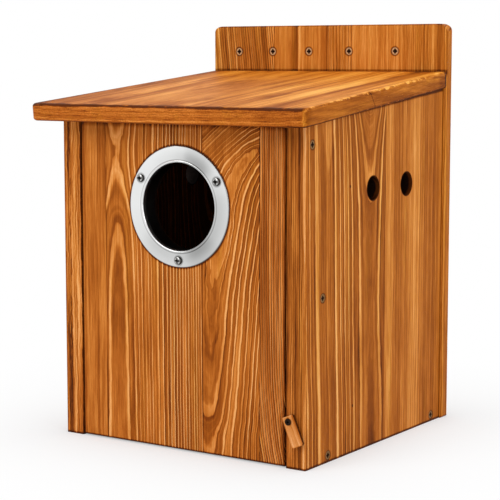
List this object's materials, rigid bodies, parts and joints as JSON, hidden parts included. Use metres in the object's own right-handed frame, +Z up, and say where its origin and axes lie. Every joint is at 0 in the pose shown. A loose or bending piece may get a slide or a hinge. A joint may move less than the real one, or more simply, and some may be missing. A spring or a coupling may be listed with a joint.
{
  "type": "squirrel nest box",
  "caption": "Wooden nest box with a sloping roof, a round metal-ringed entrance in a swing-up front, side vents and a tall back board for mounting.",
  "frame": {"origin": "centre of the underside, midway between the side panels' front edge and the back board's back face", "axes": "+Z up, +Y towards the back board, +X to the right as seen from the front"},
  "size_m": [0.2794, 0.2915, 0.3621],
  "materials": {
    "stained_fir": "orange-brown stained fir, satin",
    "stained_fir_dark": "darker brown stained fir, satin",
    "pale_wood": "lighter stained wood, satin",
    "ring_metal": "smooth pale metal",
    "screw_zinc": "zinc plated",
    "screw_black": "black"
  },
  "bodies": {
    "case": {"back_panel": "stained_fir", "left_side_panel": "stained_fir_dark", "right_side_panel": "stained_fir_dark", "floor_panel": "stained_fir", "roof_panel": "stained_fir", "step_rail": "stained_fir", "turn_button_screw": "screw_black", "left_rail_screw": "screw_zinc", "right_rail_screw": "screw_zinc", "left_floor_screws": "screw_zinc", "right_floor_screws": "screw_zinc", "left_back_screws": "screw_zinc", "right_back_screws": "screw_zinc", "roof_back_screws": "screw_zinc", "floor_back_screws": "screw_zinc", "mounting_screws": "screw_zinc"},
    "door": {"front_door": "stained_fir", "entrance_ring": "ring_metal", "ring_screws": "screw_zinc", "left_pivot_screw": "screw_zinc", "right_pivot_screw": "screw_zinc"},
    "latch": {"turn_button": "pale_wood"}
  },
  "joints": [
    {"name": "door_swing", "type": "hinge", "parent": "case", "child": "door", "pos_m": [0, -0.114, 0.263], "axis": [-1, 0, 0], "range_deg": [0, 88]},
    {"name": "latch_turn", "type": "hinge", "parent": "case", "child": "latch", "pos_m": [0.1116, -0.1255, 0.04], "axis": [0, -1, 0], "continuous": true}
  ]
}
